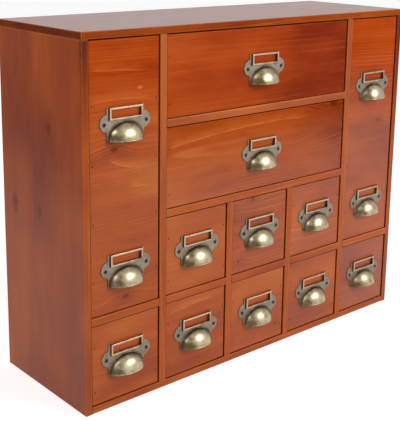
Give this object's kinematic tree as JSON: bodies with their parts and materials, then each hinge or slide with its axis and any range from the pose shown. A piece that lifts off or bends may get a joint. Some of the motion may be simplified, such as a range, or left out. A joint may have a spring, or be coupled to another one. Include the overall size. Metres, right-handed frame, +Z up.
{
  "type": "desktop drawer organizer",
  "caption": "Wooden desktop drawer organizer with tall, wide and small inset drawers, each sliding out by a cup pull with a label frame.",
  "frame": {"origin": "centre of the case's footprint, on the surface it stands on", "axes": "+X to the right seen from the front, +Y to the rear, +Z up; the drawers open along -Y"},
  "size_m": [0.5, 0.1746, 0.406],
  "materials": {
    "case_wood": "stained and lacquered",
    "front_wood": "stained and lacquered",
    "tray_wood": "bare, sanded",
    "back_ply": "bare plywood",
    "antique_brass": "antique, rubbed",
    "dark_steel": "blackened"
  },
  "bodies": {
    "case": {"top_board": "case_wood", "side_left": "case_wood", "side_right": "case_wood", "bottom_board": "case_wood", "back_panel": "back_ply", "partition_left": "case_wood", "partition_right": "case_wood", "divider_left": "case_wood", "divider_right": "case_wood", "shelf_upper": "case_wood", "shelf_middle": "case_wood", "shelf_lower": "case_wood"},
    "left_tall_drawer": {"left_tall_front": "front_wood", "left_tall_tray": "tray_wood", "left_tall_pulls": "antique_brass", "left_tall_fasteners": "dark_steel"},
    "left_low_drawer": {"left_low_front": "front_wood", "left_low_tray": "tray_wood", "left_low_pull": "antique_brass", "left_low_fasteners": "dark_steel"},
    "wide_upper_drawer": {"wide_upper_front": "front_wood", "wide_upper_tray": "tray_wood", "wide_upper_pull": "antique_brass", "wide_upper_fasteners": "dark_steel"},
    "wide_lower_drawer": {"wide_lower_front": "front_wood", "wide_lower_tray": "tray_wood", "wide_lower_pull": "antique_brass", "wide_lower_fasteners": "dark_steel"},
    "small_upper_left_drawer": {"small_upper_left_front": "front_wood", "small_upper_left_tray": "tray_wood", "small_upper_left_pull": "antique_brass", "small_upper_left_fasteners": "dark_steel"},
    "small_upper_centre_drawer": {"small_upper_centre_front": "front_wood", "small_upper_centre_tray": "tray_wood", "small_upper_centre_pull": "antique_brass", "small_upper_centre_fasteners": "dark_steel"},
    "small_upper_right_drawer": {"small_upper_right_front": "front_wood", "small_upper_right_tray": "tray_wood", "small_upper_right_pull": "antique_brass", "small_upper_right_fasteners": "dark_steel"},
    "small_lower_left_drawer": {"small_lower_left_front": "front_wood", "small_lower_left_tray": "tray_wood", "small_lower_left_pull": "antique_brass", "small_lower_left_fasteners": "dark_steel"},
    "small_lower_centre_drawer": {"small_lower_centre_front": "front_wood", "small_lower_centre_tray": "tray_wood", "small_lower_centre_pull": "antique_brass", "small_lower_centre_fasteners": "dark_steel"},
    "small_lower_right_drawer": {"small_lower_right_front": "front_wood", "small_lower_right_tray": "tray_wood", "small_lower_right_pull": "antique_brass", "small_lower_right_fasteners": "dark_steel"},
    "right_tall_drawer": {"right_tall_front": "front_wood", "right_tall_tray": "tray_wood", "right_tall_pulls": "antique_brass", "right_tall_fasteners": "dark_steel"},
    "right_low_drawer": {"right_low_front": "front_wood", "right_low_tray": "tray_wood", "right_low_pull": "antique_brass", "right_low_fasteners": "dark_steel"}
  },
  "joints": [
    {"name": "left_tall_slide", "type": "slide", "parent": "case", "child": "left_tall_drawer", "axis": [0, -1, 0], "range_m": [0, 0.12]},
    {"name": "left_low_slide", "type": "slide", "parent": "case", "child": "left_low_drawer", "axis": [0, -1, 0], "range_m": [0, 0.12]},
    {"name": "wide_upper_slide", "type": "slide", "parent": "case", "child": "wide_upper_drawer", "axis": [0, -1, 0], "range_m": [0, 0.12]},
    {"name": "wide_lower_slide", "type": "slide", "parent": "case", "child": "wide_lower_drawer", "axis": [0, -1, 0], "range_m": [0, 0.12]},
    {"name": "small_upper_left_slide", "type": "slide", "parent": "case", "child": "small_upper_left_drawer", "axis": [0, -1, 0], "range_m": [0, 0.12]},
    {"name": "small_upper_centre_slide", "type": "slide", "parent": "case", "child": "small_upper_centre_drawer", "axis": [0, -1, 0], "range_m": [0, 0.12]},
    {"name": "small_upper_right_slide", "type": "slide", "parent": "case", "child": "small_upper_right_drawer", "axis": [0, -1, 0], "range_m": [0, 0.12]},
    {"name": "small_lower_left_slide", "type": "slide", "parent": "case", "child": "small_lower_left_drawer", "axis": [0, -1, 0], "range_m": [0, 0.12]},
    {"name": "small_lower_centre_slide", "type": "slide", "parent": "case", "child": "small_lower_centre_drawer", "axis": [0, -1, 0], "range_m": [0, 0.12]},
    {"name": "small_lower_right_slide", "type": "slide", "parent": "case", "child": "small_lower_right_drawer", "axis": [0, -1, 0], "range_m": [0, 0.12]},
    {"name": "right_tall_slide", "type": "slide", "parent": "case", "child": "right_tall_drawer", "axis": [0, -1, 0], "range_m": [0, 0.12]},
    {"name": "right_low_slide", "type": "slide", "parent": "case", "child": "right_low_drawer", "axis": [0, -1, 0], "range_m": [0, 0.12]}
  ]
}
